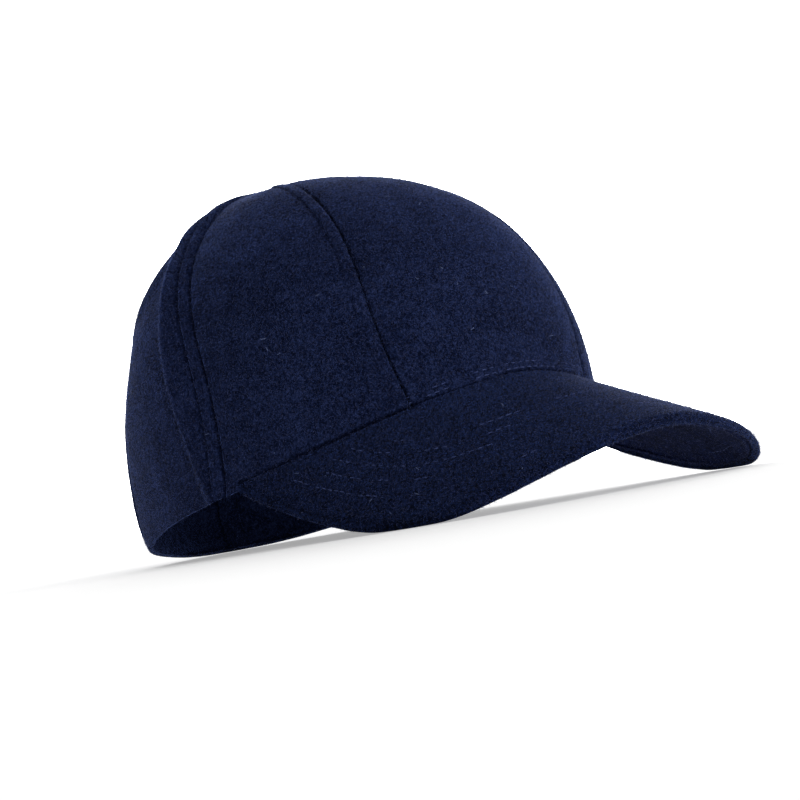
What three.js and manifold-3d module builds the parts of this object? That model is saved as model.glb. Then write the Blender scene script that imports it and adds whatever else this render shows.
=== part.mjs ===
// A soft wool cap of eight crown panels with an arched peak, resting on a level surface.
// Millimetres, +Z up, the front and its peak towards -Y, the wearer's right towards -X.
// The origin is under the middle of the cap, on the surface that it rests on.
import * as THREE from "three";
import Module from "manifold-3d";

const wasm = await Module();
wasm.setup();

// Driving dimensions of the crown. Angles are in degrees, round from the front.
const headLength = 200;
const headWidth = 170;
const crownHeight = 116.8;
const crownLean = 22;
const crownSwell = 1.6;
const rearDrop = 16;
const sideHemDepth = 2.6;
const hemTuck = 3.2;
const clothThickness = 2;
const seamGap = 0.3;
const allowanceWidth = 5;
const allowanceRise = 0.5;
const panelPuff = 1.4;
const foldWidth = 42;
const foldDepth = 4.2;
const tipHole = 1.5;

// Driving dimensions of the peak
const peakReach = 71;
const peakCorner = 72.5;
const peakArch = 16.2;
const peakPitch = 23.5;
const peakThickness = 4.4;
const peakFlare = 1.6;
const cornerThickness = 2.6;
const cornerTaper = 16;
const rimReturn = 1.5;
const rootGap = 0.4;

// How far the peak's covers run towards its corners, as shares of half its outline
const topCoverReach = 0.985;
const underCoverReach = 0.945;

// How far the cloth is pressed flat where it carries the cap
const settle = 0.9;

// Fineness of the grids
const crownRows = 16;
const innerColumns = 8;
const peakStations = 44;
const peakColumns = 9;
const rimSteps = 4;

const clothColour = 0x1b2540;
const undersideColour = 0x19223b;

// Roundness of the crown's upright sections: 2 is an ellipse, more is squarer, less is leaner
const roundness = { front: 3.85, side: 2.4, back: 1.15 };

// Curve of the peak's plan outline, and of the arch across its root
const outlinePower = 4.7;
const archPower = 1.72;

// Seams of one side of the crown: bow is how far a seam is carried sideways at half its
// height, and swing how far below the middle and, the other way, above it
const seams = [
  { name: "front", angle: 28.3, bow: 2.9, swing: 1 },
  { name: "side", angle: 76.9, bow: -0.7, swing: -1.8 },
  { name: "rear side", angle: 128.5, bow: 0, swing: 0 },
  { name: "middle of the back", angle: 180, bow: 0, swing: 0 },
];

// Soft upright folds and hollows of each side: widths are shares of foldWidth, rises of
// foldDepth, and low and high of the crown's height
const folds = [
  { name: "ridge behind the side seam", angle: 84.5, width: 0.26, rise: 0.62, low: 0.05, high: 0.98 },
  { name: "hollow behind the ridge", angle: 109, width: 1, rise: -1, low: -0.1, high: 0.86 },
  { name: "crease down the forehead", angle: 4, width: 0.52, rise: -0.17, low: 0.15, high: 0.95 },
];

// Relief beside a seam: distance in allowance widths, rise in allowance rises
const bandRelief = [
  { distance: 0, rise: -1.6 },
  { distance: 0.26, rise: 1 },
  { distance: 0.92, rise: 1 },
  { distance: 1.12, rise: -0.3 },
  { distance: 1.5, rise: 0 },
];
const plainRelief = [
  { distance: 0, rise: -1.6 },
  { distance: 0.3, rise: 0 },
];

const degree = Math.PI / 180;
const { lerp, clamp, smoothstep } = THREE.MathUtils;
const bell = (x) => (Math.abs(x) < 1 ? Math.cos((Math.PI * x) / 2) ** 2 : 0);
const turnFromFront = (angle) => Math.acos(clamp(Math.cos(angle), -1, 1));
const cornerAngle = peakCorner * degree;
const cornerHalfWidth = (headWidth / 2) * Math.sin(cornerAngle);

// Height of the line where the crown meets the peak; it is zero at the peak's corners
function rootHeight(x) {
  return peakArch * (1 - Math.min(1, Math.abs(x) / cornerHalfWidth) ** archPower);
}

// Height of the crown's lower edge, which runs down behind the peak and drops towards the back
function hemHeight(angle) {
  const turn = turnFromFront(angle);
  if (turn < cornerAngle) {
    const inside = smoothstep(cornerAngle - turn, 0, 12 * degree);
    return rootHeight((headWidth / 2) * Math.sin(turn)) - lerp(sideHemDepth, peakThickness, inside);
  }
  const past = Math.min(1, (turn - cornerAngle) / (Math.PI - cornerAngle));
  return -lerp(sideHemDepth, rearDrop, 1 - (1 - past) ** 1.27);
}

function roundnessAt(angle) {
  const facing = Math.cos(angle);
  return lerp(roundness.side, facing > 0 ? roundness.front : roundness.back, facing ** 2);
}

// Smooth form of the crown at an angle round it and a height
function crownForm(angle, height) {
  const share = clamp(height / crownHeight, 0, 1);
  let reach = Math.sqrt(Math.max(0, 1 - share ** roundnessAt(angle)));
  reach *= 1 + (crownSwell / (headWidth / 2)) * Math.sin(Math.PI * share);
  if (height < 0) reach = 1 - (hemTuck / (headLength / 2)) * (-height / rearDrop) ** 1.5;
  return new THREE.Vector3(
    -(headWidth / 2) * reach * Math.sin(angle),
    crownLean * share ** 2 - (headLength / 2) * reach * Math.cos(angle),
    height,
  );
}

// The rows of a panel are evenly spaced in "up", which is 0 at the hem and 1 at the top
const heightShare = (up) => 1 - (1 - up) ** 2;

function crownBase(angle, up) {
  return crownForm(angle, lerp(hemHeight(angle), crownHeight, heightShare(up)));
}

function crownNormal(angle, up) {
  const step = 0.002;
  const across = crownBase(angle - step, up).sub(crownBase(angle + step, up));
  const along = crownBase(angle, up + step).sub(crownBase(angle, up - step));
  return across.cross(along).normalize();
}

function seamAngle(seam, up) {
  const share = heightShare(up);
  const aside = seam.bow * Math.sin(Math.PI * share) + seam.swing * Math.sin(2 * Math.PI * share);
  return (seam.angle + aside) * degree;
}

// Distance from the crown's upright middle line to its wall
function crownRadius(angle, up) {
  const point = crownBase(angle, up);
  return Math.hypot(point.x, point.y - crownLean * clamp(point.z / crownHeight, 0, 1) ** 2);
}

function foldRise(angle, up) {
  const share = heightShare(up);
  const radius = crownRadius(angle, up);
  return folds.reduce((rise, fold) => {
    const aside = (turnFromFront(angle) - fold.angle * degree) * radius;
    const middle = (fold.low + fold.high) / 2;
    const upright = bell((share - middle) / (fold.high - fold.low));
    return rise + foldDepth * fold.rise * bell(aside / (foldWidth * fold.width)) * upright;
  }, 0);
}

// Panels puff out between their seams, most at mid height
function puffRise(across, up) {
  const share = heightShare(up);
  const fullness = (0.3 + 0.7 * Math.sin(Math.PI * Math.min(1, share))) * (1 - share ** 8);
  return panelPuff * 4 * across * (1 - across) * fullness;
}

// Positions across a panel of the given width, with the seam relief at each
function panelColumns(panel, width) {
  const starts = panel.startBand ? bandRelief : plainRelief;
  const ends = panel.endBand ? bandRelief : plainRelief;
  const reach = allowanceWidth * (starts.at(-1).distance + ends.at(-1).distance);
  const squeeze = Math.min(1, (0.75 * width) / reach);
  const place = (row) => seamGap / 2 + row.distance * allowanceWidth * squeeze;
  const column = (at, rise) => ({ across: at / width, rise: rise * allowanceRise * squeeze });
  const columns = starts.map((row) => column(place(row), row.rise));
  const first = place(starts.at(-1));
  const last = width - place(ends.at(-1));
  for (let i = 1; i < innerColumns; i += 1) {
    columns.push(column(lerp(first, last, i / innerColumns), 0));
  }
  return columns.concat(ends.toReversed().map((row) => column(width - place(row), row.rise)));
}

// A closed cloth wall between an outer and an inner grid of the same rows and columns
function clothSolid(outer, inner) {
  const rows = outer.length;
  const columns = outer[0].length;
  const points = [...outer.flat(), ...inner.flat()];
  const at = (row, column, side) => side * rows * columns + row * columns + column;
  const triangles = [];
  const quad = (a, b, c, d) => triangles.push(a, b, c, a, c, d);
  for (let r = 0; r + 1 < rows; r += 1) {
    for (let c = 0; c + 1 < columns; c += 1) {
      quad(at(r, c, 0), at(r, c + 1, 0), at(r + 1, c + 1, 0), at(r + 1, c, 0));
      quad(at(r, c, 1), at(r + 1, c, 1), at(r + 1, c + 1, 1), at(r, c + 1, 1));
    }
    const end = columns - 1;
    quad(at(r, 0, 1), at(r, 0, 0), at(r + 1, 0, 0), at(r + 1, 0, 1));
    quad(at(r, end, 0), at(r, end, 1), at(r + 1, end, 1), at(r + 1, end, 0));
  }
  for (let c = 0; c + 1 < columns; c += 1) {
    const top = rows - 1;
    quad(at(0, c, 1), at(0, c + 1, 1), at(0, c + 1, 0), at(0, c, 0));
    quad(at(top, c, 0), at(top, c + 1, 0), at(top, c + 1, 1), at(top, c, 1));
  }
  return facesOut(points, triangles);
}

// Turns the triangles round where they enclose a negative volume
function facesOut(points, triangles) {
  let volume = 0;
  for (let i = 0; i < triangles.length; i += 3) {
    const [a, b, c] = [0, 1, 2].map((k) => points[triangles[i + k]]);
    volume += a.dot(new THREE.Vector3().crossVectors(b, c));
  }
  if (volume < 0) triangles.reverse();
  return { points, triangles };
}

// One crown panel between two seams of a side, or across the middle of the front
function crownPanel(panel) {
  const topUp = 1 - tipHole / (headWidth / 2);
  const outer = [];
  const inner = [];
  for (let r = 0; r <= crownRows; r += 1) {
    const up = (topUp * r) / crownRows;
    const start = panel.start(up);
    const end = panel.end(up);
    const width = Math.abs(end - start) * crownRadius((start + end) / 2, up);
    const pressed = smoothstep(up, 0, 1 / crownRows);
    const line = panelColumns(panel, width).map(({ across, rise }) => {
      const angle = lerp(start, end, across);
      const normal = crownNormal(angle, up);
      const middle = crownBase(angle, up);
      middle.addScaledVector(normal, foldRise(angle, up) + puffRise(across, up));
      return {
        outside: middle.clone().addScaledVector(normal, rise * pressed),
        inside: middle.clone().addScaledVector(normal, -clothThickness),
      };
    });
    outer.push(line.map((column) => column.outside));
    inner.push(line.map((column) => column.inside));
  }
  return clothSolid(outer, inner);
}

// The peak's plan outline from its right corner to its left, at an even pace
function peakOutline() {
  const rootY = -(headLength / 2) * Math.cos(cornerAngle);
  const depth = headLength / 2 + peakReach + rootY;
  const halfWidth = cornerHalfWidth + rootGap + peakFlare / 2;
  const steps = 400;
  const points = [];
  for (let i = 0; i <= steps; i += 1) {
    const turn = (Math.PI * i) / steps;
    const x = -halfWidth * Math.cos(turn);
    points.push(new THREE.Vector3(x, rootY - depth * Math.sin(turn) ** (2 / outlinePower), 0));
  }
  return new THREE.CatmullRomCurve3(points).getSpacedPoints(steps);
}

const outline = peakOutline();

// A point of the outline at a share of its length, -1 at the right corner and 1 at the left
function outlinePoint(share) {
  const place = clamp((share + 1) / 2, 0, 1) * (outline.length - 1);
  const low = Math.min(outline.length - 2, Math.floor(place));
  return outline[low].clone().lerp(outline[low + 1], place - low);
}

// Height of the peak's top above the level of its corners
function peakHeight(point) {
  const half = Math.min(0.99, Math.abs(point.x) / (headWidth / 2));
  const forward = Math.max(0, -(headLength / 2) * Math.sqrt(1 - half ** 2) - point.y);
  const lift = peakFlare * (point.x / cornerHalfWidth) ** 2 * (forward / peakReach);
  return rootHeight(point.x) - Math.tan(peakPitch * degree) * forward + lift;
}

// Where the peak's root lies against the crown, just clear of the panel's puffed cloth
function rootPoint(share) {
  const angle = -share * cornerAngle;
  const point = crownForm(angle, rootHeight((headWidth / 2) * Math.sin(angle)));
  const outward = new THREE.Vector3(point.x / headWidth, point.y / headLength, 0).normalize();
  const turn = Math.abs(angle);
  const [front, side] = seams.map((seam) => seam.angle * degree);
  const across = turn < front ? (turn / front + 1) / 2 : (turn - front) / (side - front);
  const slack = rootGap + puffRise(across, 0) + foldRise(angle, 0);
  return point.addScaledVector(outward, slack);
}

// One section of the peak from its root to its rim, with the sizes that the covers share
function peakSection(share) {
  const root = rootPoint(share);
  const rim = outlinePoint(share);
  root.z = 0;
  const length = root.distanceTo(rim);
  const along = rim.clone().sub(root).normalize();
  const thickness = lerp(cornerThickness, peakThickness, smoothstep(length, 0, cornerTaper));
  const cloth = Math.min(clothThickness, thickness / 2 - seamGap);
  const radius = thickness / 2;
  const turned = Math.min(rimReturn, 0.3 * length);
  // A point at a distance from the root and a depth below the top surface
  const at = (distance, depth) => {
    const point = root.clone().addScaledVector(along, distance);
    point.z = peakHeight(point) - depth;
    return point;
  };
  return { length, thickness, cloth, radius, turned, at };
}

// Upper cloth of the peak: along the top, round the rim and a short way back underneath
function peakTopSection({ length, thickness, cloth, radius, turned, at }) {
  const shoulder = length - radius;
  const outer = [];
  const inner = [];
  for (let c = 0; c < peakColumns; c += 1) {
    const distance = (shoulder * c) / peakColumns;
    outer.push(at(distance, 0));
    inner.push(at(distance, cloth));
  }
  for (let s = 0; s <= rimSteps; s += 1) {
    const turn = (Math.PI * s) / rimSteps;
    const swing = (size) => at(shoulder + size * Math.sin(turn), radius - size * Math.cos(turn));
    outer.push(swing(radius));
    inner.push(swing(radius - cloth));
  }
  for (const share of [0.55, 1]) {
    outer.push(at(shoulder - turned * share, thickness));
    inner.push(at(shoulder - turned * share, thickness - cloth));
  }
  return { outer, inner };
}

// Lower cloth of the peak, which stops a seam's gap short of the turned edge
function peakUndersideSection({ length, thickness, cloth, radius, turned, at }) {
  const edge = length - radius - turned - seamGap;
  const outer = [];
  const inner = [];
  for (let c = 0; c <= peakColumns; c += 1) {
    const distance = (edge * c) / peakColumns;
    const pressed = c === peakColumns ? allowanceRise : 0;
    outer.push(at(distance, thickness - pressed));
    inner.push(at(distance, cloth + seamGap));
  }
  return { outer, inner };
}

function peakPiece(section, reach) {
  const lines = [];
  for (let i = 0; i <= peakStations; i += 1) {
    lines.push(section(peakSection(lerp(-reach, reach, i / peakStations))));
  }
  return clothSolid(lines.map((line) => line.outer), lines.map((line) => line.inner));
}

// Angles are positive on the wearer's right; the front panel runs from left to right, and
// the seam at the middle of the back has its allowances pressed open to both sides
function crownPanels() {
  const seamLine = (index, side) => (up) => side * seamAngle(seams[index], up);
  const panels = [{ name: "front_panel", start: seamLine(0, -1), end: seamLine(0, 1) }];
  const places = ["front", "side", "back"];
  for (const [word, side] of [["right", 1], ["left", -1]]) {
    places.forEach((place, index) => {
      panels.push({
        name: `${word}_${place}_panel`,
        start: seamLine(index, side),
        end: seamLine(index + 1, side),
        startBand: true,
        endBand: place === "back",
      });
    });
  }
  return panels;
}

const pieces = [
  ...crownPanels().map((panel) => ({ name: panel.name, colour: clothColour, ...crownPanel(panel) })),
  { name: "peak_top", colour: clothColour, ...peakPiece(peakTopSection, topCoverReach) },
  { name: "peak_underside", colour: undersideColour, ...peakPiece(peakUndersideSection, underCoverReach) },
];
const everyPoint = pieces.flatMap((piece) => piece.points);

// Difference between the lowest points of the peak and of the back of the hem at a tilt
function unevenness(tilt) {
  const lowest = { front: Infinity, back: Infinity };
  for (const point of everyPoint) {
    const height = point.y * Math.sin(tilt) + point.z * Math.cos(tilt);
    const half = point.y < 0 ? "front" : "back";
    lowest[half] = Math.min(lowest[half], height);
  }
  return lowest.front - lowest.back;
}

// The tilt at which the peak's sides and the back of the hem touch the surface together
function restingTilt() {
  let low = -20 * degree;
  let high = 10 * degree;
  for (let i = 0; i < 40; i += 1) {
    const middle = (low + high) / 2;
    if (unevenness(middle) > 0) low = middle;
    else high = middle;
  }
  return (low + high) / 2;
}

const tilt = restingTilt();
everyPoint.forEach((point) => point.applyAxisAngle(new THREE.Vector3(1, 0, 0), tilt));
const bounds = new THREE.Box3().setFromPoints(everyPoint);
const middle = bounds.getCenter(new THREE.Vector3());
everyPoint.forEach((point) => point.sub(new THREE.Vector3(middle.x, middle.y, bounds.min.z + settle)));

function asManifold(points, triangles) {
  const vertProperties = new Float32Array(points.flatMap((point) => point.toArray()));
  const triVerts = new Uint32Array(triangles);
  return new wasm.Manifold(new wasm.Mesh({ numProp: 3, vertProperties, triVerts }));
}

// A block that fills the space just below the resting surface
function groundBlock() {
  const depth = peakThickness;
  const box = new THREE.BoxGeometry(2 * headWidth, 2 * headLength, depth);
  const corners = [];
  const triangles = [];
  const place = box.getAttribute("position");
  for (const index of box.index.array) {
    const corner = new THREE.Vector3().fromBufferAttribute(place, index);
    corner.z -= depth / 2;
    let known = corners.findIndex((other) => other.distanceTo(corner) < 0.01);
    if (known < 0) known = corners.push(corner) - 1;
    triangles.push(known);
  }
  return asManifold(corners, triangles);
}

const ground = groundBlock();

function meshFrom({ name, points, triangles, colour }) {
  const solid = asManifold(points, triangles).subtract(ground).getMesh();
  const geometry = new THREE.BufferGeometry();
  geometry.setAttribute("position", new THREE.BufferAttribute(solid.vertProperties, 3));
  geometry.setIndex(new THREE.BufferAttribute(solid.triVerts, 1));
  geometry.computeVertexNormals();
  const material = new THREE.MeshStandardMaterial({ color: colour, roughness: 0.95, metalness: 0 });
  const mesh = new THREE.Mesh(geometry, material);
  mesh.name = name;
  return mesh;
}

const cap = new THREE.Group();
cap.name = "cricket_cap";
pieces.forEach((piece) => cap.add(meshFrom(piece)));

export default cap;
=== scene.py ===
# %% [markdown]
# # A felted wool cap
#
# We dress a soft cap: seven crown panels sewn together at the top, and an arched peak
# covered in the same cloth. The solid model gives the frame that everything sits in.
# Here each piece of cloth is cut again as a fine sheet, laid over that form, given its
# seams, folds and nap, and lit softly on a pale floor.

import math

import bmesh
import bpy
import numpy as np
from mathutils import Matrix, Vector, noise


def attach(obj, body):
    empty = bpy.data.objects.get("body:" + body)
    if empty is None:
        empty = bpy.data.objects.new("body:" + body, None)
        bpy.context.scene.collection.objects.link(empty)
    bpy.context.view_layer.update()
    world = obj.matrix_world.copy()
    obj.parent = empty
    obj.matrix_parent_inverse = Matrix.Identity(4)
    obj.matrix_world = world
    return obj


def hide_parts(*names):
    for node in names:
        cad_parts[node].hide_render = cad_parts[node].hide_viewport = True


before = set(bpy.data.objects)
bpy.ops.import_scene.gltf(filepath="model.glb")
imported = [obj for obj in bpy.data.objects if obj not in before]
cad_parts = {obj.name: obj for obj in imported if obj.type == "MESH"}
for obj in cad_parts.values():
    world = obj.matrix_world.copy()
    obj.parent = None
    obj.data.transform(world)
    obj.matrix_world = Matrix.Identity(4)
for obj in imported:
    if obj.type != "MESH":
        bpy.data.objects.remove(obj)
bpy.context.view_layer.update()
print("frame nodes:", sorted(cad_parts))

# %% [markdown]
# ## The cap's measures
#
# A cap is cut for a head: the hem is an ellipse, and the crown is a dome over it. The
# numbers below are the real sizes in millimetres, the same ones the solid model was made
# from. All shapes are worked out in the sewing position, with the hem level, and then
# tipped into the position in which the cap rests.

# %% Measures in millimetres
MM = 0.001
HEAD_LENGTH = 200
HEAD_WIDTH = 170
CROWN_HEIGHT = 116.8
CROWN_LEAN = 22
CROWN_SWELL = 1.6
REAR_DROP = 16
SIDE_HEM_DEPTH = 2.6
HEM_TUCK = 3.2
CLOTH = 2.0
PANEL_PUFF = 1.4
TIP_HOLE = 0.15

PEAK_REACH = 71
PEAK_CORNER = math.radians(72.5)
PEAK_ARCH = 16.2
PEAK_PITCH = math.radians(23.5)
PEAK_THICKNESS = 4.4
PEAK_FLARE = 1.6
CORNER_THICKNESS = 2.6
CORNER_TAPER = 16
RIM_RETURN = 1.1
ROOT_GAP = 0.15

ROUNDNESS = {"front": 3.85, "side": 2.4, "back": 1.15}
OUTLINE_POWER = 4.7
ARCH_POWER = 1.72
HEM_POWER = 1.27
REST_TILT = math.radians(-4.7884)
REST_SHIFT = (0, 35.815, 23.124)
PRESS = 0.8

# %% [markdown]
# ## The form of the crown
#
# Every point of the crown is named by two numbers: the angle round from the front, and
# how far up it lies, 0 at the hem and 1 at the top. The functions take whole arrays of
# them, so that thousands of points are placed at once.

# %% The crown's form
def ramp(value, low, high):
    """Rises smoothly from 0 at low to 1 at high."""
    share = np.clip((value - low) / (high - low), 0, 1)
    return share * share * (3 - 2 * share)


def bell(value):
    """A smooth hump from -1 to 1, with its top at 0."""
    return np.where(np.abs(value) < 1, np.cos(np.pi * np.clip(value, -1, 1) / 2) ** 2, 0)


def mix(low, high, share):
    return low + (high - low) * share


def turn_from_front(angle):
    return np.arccos(np.clip(np.cos(angle), -1, 1))


CORNER_HALF_WIDTH = HEAD_WIDTH / 2 * math.sin(PEAK_CORNER)


def root_height(x):
    """Height of the line where the crown meets the peak."""
    return PEAK_ARCH * (1 - np.minimum(1, np.abs(x) / CORNER_HALF_WIDTH) ** ARCH_POWER)


def hem_height(angle):
    """Height of the crown's lower edge, which drops towards the back."""
    turn = turn_from_front(angle)
    inside = ramp(PEAK_CORNER - turn, 0, math.radians(12))
    depth = mix(SIDE_HEM_DEPTH, PEAK_THICKNESS, inside)
    under_peak = root_height(HEAD_WIDTH / 2 * np.sin(turn)) - depth
    past = np.clip((turn - PEAK_CORNER) / (math.pi - PEAK_CORNER), 0, 1)
    behind = -mix(SIDE_HEM_DEPTH, REAR_DROP, 1 - (1 - past) ** HEM_POWER)
    return np.where(turn < PEAK_CORNER, under_peak, behind)


def crown_form(angle, height):
    """A point of the crown's form, at an angle from the front and a height.

    Height 0 is level with the corners of the peak, and the hem behind them is below it.
    """
    facing = np.cos(angle)
    end = np.where(facing > 0, ROUNDNESS["front"], ROUNDNESS["back"])
    power = mix(ROUNDNESS["side"], end, facing ** 2)
    share = np.clip(height / CROWN_HEIGHT, 0, 1)
    reach = np.sqrt(np.maximum(0, 1 - share ** power))
    reach = reach * (1 + CROWN_SWELL / (HEAD_WIDTH / 2) * np.sin(np.pi * share))
    below = np.clip(-height / REAR_DROP, 0, 2)
    reach = np.where(height < 0, 1 - HEM_TUCK / (HEAD_LENGTH / 2) * below ** 1.5, reach)
    x = -HEAD_WIDTH / 2 * reach * np.sin(angle)
    y = CROWN_LEAN * share ** 2 - HEAD_LENGTH / 2 * reach * np.cos(angle)
    return np.stack([x, y, height + 0 * angle], axis=-1)


def height_share(up):
    """The share of the height at a place, which rises slowly near the flat top."""
    return 1 - (1 - up) ** 2


def crown_base(angle, up):
    return crown_form(angle, mix(hem_height(angle), CROWN_HEIGHT, height_share(up)))


def crown_normal(angle, up, step=0.002):
    across = crown_base(angle - step, up) - crown_base(angle + step, up)
    along = crown_base(angle, up + step) - crown_base(angle, up - step)
    normal = np.cross(across, along)
    return normal / np.linalg.norm(normal, axis=-1, keepdims=True)


def crown_radius(angle, up):
    """How far a point lies from the upright line under the crown's top."""
    point = crown_base(angle, up)
    lean = CROWN_LEAN * np.clip(point[..., 2] / CROWN_HEIGHT, 0, 1) ** 2
    return np.hypot(point[..., 0], point[..., 1] - lean)


def at_rest(points):
    """Points in millimetres, sewing position, as points in metres, resting position.

    The lowest cloth is pressed flat on the floor, over a height of about PRESS.
    """
    x, y, z = points[..., 0], points[..., 1], points[..., 2]
    tipped_y = y * math.cos(REST_TILT) - z * math.sin(REST_TILT) + REST_SHIFT[1]
    tipped_z = y * math.sin(REST_TILT) + z * math.cos(REST_TILT) + REST_SHIFT[2]
    pressed_z = (tipped_z + np.sqrt(tipped_z ** 2 + PRESS ** 2)) / 2
    return np.stack([x, tipped_y, pressed_z], axis=-1) * MM


top = at_rest(crown_base(np.array([0.0]), np.array([0.999])))[0]
print("top of the crown:", [round(float(value), 4) for value in top])

# %% [markdown]
# ## Seams, folds and puff
#
# A seam joins two panels right sides together, so the cloth rolls into a narrow groove.
# Its allowance is pressed to the back and sewn down 5 mm away, and shows as a flat band.
# Behind each side seam the cloth breaks into an upright fold. All of these are small
# rises along the form's normal, and are added together.

# %% Tables of seams, folds and unevenness
# Angle, bow and swing are in degrees. Bow bends the whole seam and swing gives it an S.
# Band says how much the allowance shows on the lower half of a seam and near the top.
SEAMS = [
    {"name": "front", "angle": 28.3, "bow": 2.9, "swing": 1, "band": (0.3, 0.85)},
    {"name": "side", "angle": 76.9, "bow": -0.7, "swing": -1.8, "band": (1.1, 1.0)},
    {"name": "rear side", "angle": 128.5, "bow": 0, "swing": 0, "band": (0.8, 0.8)},
    {"name": "middle back", "angle": 180, "bow": 0, "swing": 0, "band": (0.8, 0.8)},
]
# Angle is a fold's place at half the crown's height and lean its change over the whole
# height. Front, rear and rise are in millimetres, low and high are shares of the height.
# Nap highlight says how much more nap stands on a fold. The material makes that cloth paler, with
# more sheen: a painted highlight along the fold.
FOLDS = [
    {"name": "ridge behind the side seam", "angle": 85.6, "lean": 9.5,
     "front": 10.5, "rear": 5.0, "rise": 2.9, "low": 0.02, "high": 1.0},
    {"name": "crest of the ridge", "angle": 85.9, "lean": 9.5,
     "front": 2.4, "rear": 3.2, "rise": 0.9, "low": 0.25, "high": 0.85, "nap_highlight": 1.3},
    {"name": "drop behind the ridge", "angle": 89.4, "lean": 9.5,
     "front": 5.0, "rear": 30, "rise": -1.5, "low": 0.0, "high": 1.0},
    {"name": "hollow of the side panel", "angle": 109, "lean": 0,
     "front": 42, "rear": 42, "rise": -4.0, "low": -0.1, "high": 0.86},
    {"name": "slanting fold over the hollow", "angle": 146, "lean": -140,
     "front": 13, "rear": 9, "rise": 1.5, "low": 0.62, "high": 0.94},
    {"name": "crease down the forehead", "angle": 4, "lean": 0,
     "front": 22, "rear": 22, "rise": -0.7, "low": 0.15, "high": 0.95},
]
SHARP_FOLD = FOLDS[1]
# The unevenness that milled and steamed cloth has, all in millimetres but the seeds.
WAVES = {
    "crown": [
        {"height": 0.4, "length": 28, "seed": 3.1},
        {"height": 0.16, "length": 9, "seed": 7.7},
        {"height": 0.05, "length": 3.5, "seed": 2.9},
    ],
    "peak top": [
        {"height": 0.3, "length": 30, "seed": 1.3},
        {"height": 0.12, "length": 8, "seed": 5.9},
    ],
    "pucker at the root": [{"height": 0.25, "length": 5, "seed": 9.1}],
    "peak underside": [
        {"height": 0.35, "length": 22, "seed": 2.7},
        {"height": 0.2, "length": 7, "seed": 4.2},
    ],
}

# %% Sizes of the seams in millimetres
# Allowance is how far from the seam it is sewn down, and edge the line where it ends.
ALLOWANCE = 5.2
GROOVE_DEPTH = 2.3
GROOVE_WIDTH = 0.38
GROOVE_POWER = 1.6
SHOULDER_DROP = 0.3
SHOULDER_WIDTH = 1.7
BAND_RISE = 0.6
BAND_START = (0.5, 1.9)
BAND_END = (ALLOWANCE - 1.2, ALLOWANCE + 1.4)
EDGE_DEPTH = 0.95
EDGE_WIDTH = 0.6
# The root seam between crown and peak has a groove on each side, and the cloth swells
# beside it. Grip says how deep the groove is: loose near the front seams, tighter in the
# middle of the front panel, and 1 past the front seams.
ROOT_GROOVES = {
    "crown": {"depth": 1.9, "width": 0.6, "power": 1.6},
    "peak": {"depth": 1.8, "width": 0.7, "power": 1.4},
}
ROOT_SWELLS = {"crown": {"rise": 0.9, "reach": 3}, "peak": {"rise": 0.5, "reach": 4}}
LOOSE_GRIP = 0.06
MIDDLE_GRIP = 0.5


# %% Relief of the sewn cloth
def seam_angle(seam, up):
    """Where a seam lies, as an angle from the front."""
    share = height_share(up)
    aside = seam["bow"] * np.sin(np.pi * share) + seam["swing"] * np.sin(2 * np.pi * share)
    return np.radians(seam["angle"] + aside)


def band_strength(band, up):
    """How much the allowance shows at a place, from its values low down and near the top."""
    return mix(band[0], band[1], ramp(height_share(up), 0.45, 0.75))


def fold_shape(fold, angle, up):
    """How much of a fold there is at a place, from 0 to 1."""
    share = height_share(up)
    place = np.radians(fold["angle"] + fold["lean"] * (share - 0.5))
    aside = (turn_from_front(angle) - place) * crown_radius(angle, up)
    middle = (fold["low"] + fold["high"]) / 2
    upright = bell((share - middle) / (fold["high"] - fold["low"]))
    return bell(aside / np.where(aside < 0, fold["front"], fold["rear"])) * upright


def fold_rise(angle, up):
    return sum(fold["rise"] * fold_shape(fold, angle, up) for fold in FOLDS)


def puff_rise(across, up):
    """How far a panel bulges between its seams."""
    share = np.clip(height_share(up), 0, 1)
    fullness = (0.3 + 0.7 * np.sin(np.pi * share)) * (1 - share ** 8)
    return PANEL_PUFF * 4 * across * (1 - across) * fullness


def seam_relief(distance, band, open_groove):
    """Rise of the cloth at a distance from a seam; band says how much the allowance shows."""
    groove = -GROOVE_DEPTH * open_groove * np.exp(-((distance / GROOVE_WIDTH) ** GROOVE_POWER))
    shoulder = -SHOULDER_DROP * np.exp(-((distance / SHOULDER_WIDTH) ** 2))
    flat = ramp(distance, *BAND_START) * (1 - ramp(distance, *BAND_END))
    edge = -EDGE_DEPTH * np.exp(-(((distance - ALLOWANCE) / EDGE_WIDTH) ** 2))
    return groove + shoulder + (BAND_RISE * flat + edge) * band


def past_front_seam(turn):
    """From 0 on the front panel to 1 just past the front seam, along the root."""
    front = math.radians(SEAMS[0]["angle"])
    return ramp(turn, 0.75 * front, 1.05 * front)


def root_grip(turn):
    """How tightly the root seam draws the cloth in: loosely over most of the front panel."""
    middle = MIDDLE_GRIP * bell(turn / (0.65 * math.radians(SEAMS[0]["angle"])))
    return mix(LOOSE_GRIP + middle, 1, past_front_seam(turn))


def root_groove(side, distance):
    """Depth of the root groove on the crown's or the peak's side of the seam."""
    groove = ROOT_GROOVES[side]
    return groove["depth"] * np.exp(-((distance / groove["width"]) ** groove["power"]))


def root_swell(side, distance):
    swell = ROOT_SWELLS[side]
    return swell["rise"] * np.exp(-distance / swell["reach"])


def unevenness(points, waves):
    """Soft unevenness of the cloth, as the sum of the waves in a table."""
    total = 0
    for wave in waves:
        shift = Vector((wave["seed"], -wave["seed"], 0.5 * wave["seed"]))
        places = [Vector(point) / wave["length"] + shift for point in points]
        total = total + wave["height"] * np.array([noise.noise(place) for place in places])
    return total


def spread(share, closeness):
    """Moves evenly spaced shares closer together at both ends."""
    centred = 2 * share - 1
    reach = 1 - np.sinh(closeness * (1 - np.abs(centred))) / math.sinh(closeness)
    return 0.5 + 0.5 * np.sign(centred) * reach


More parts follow.
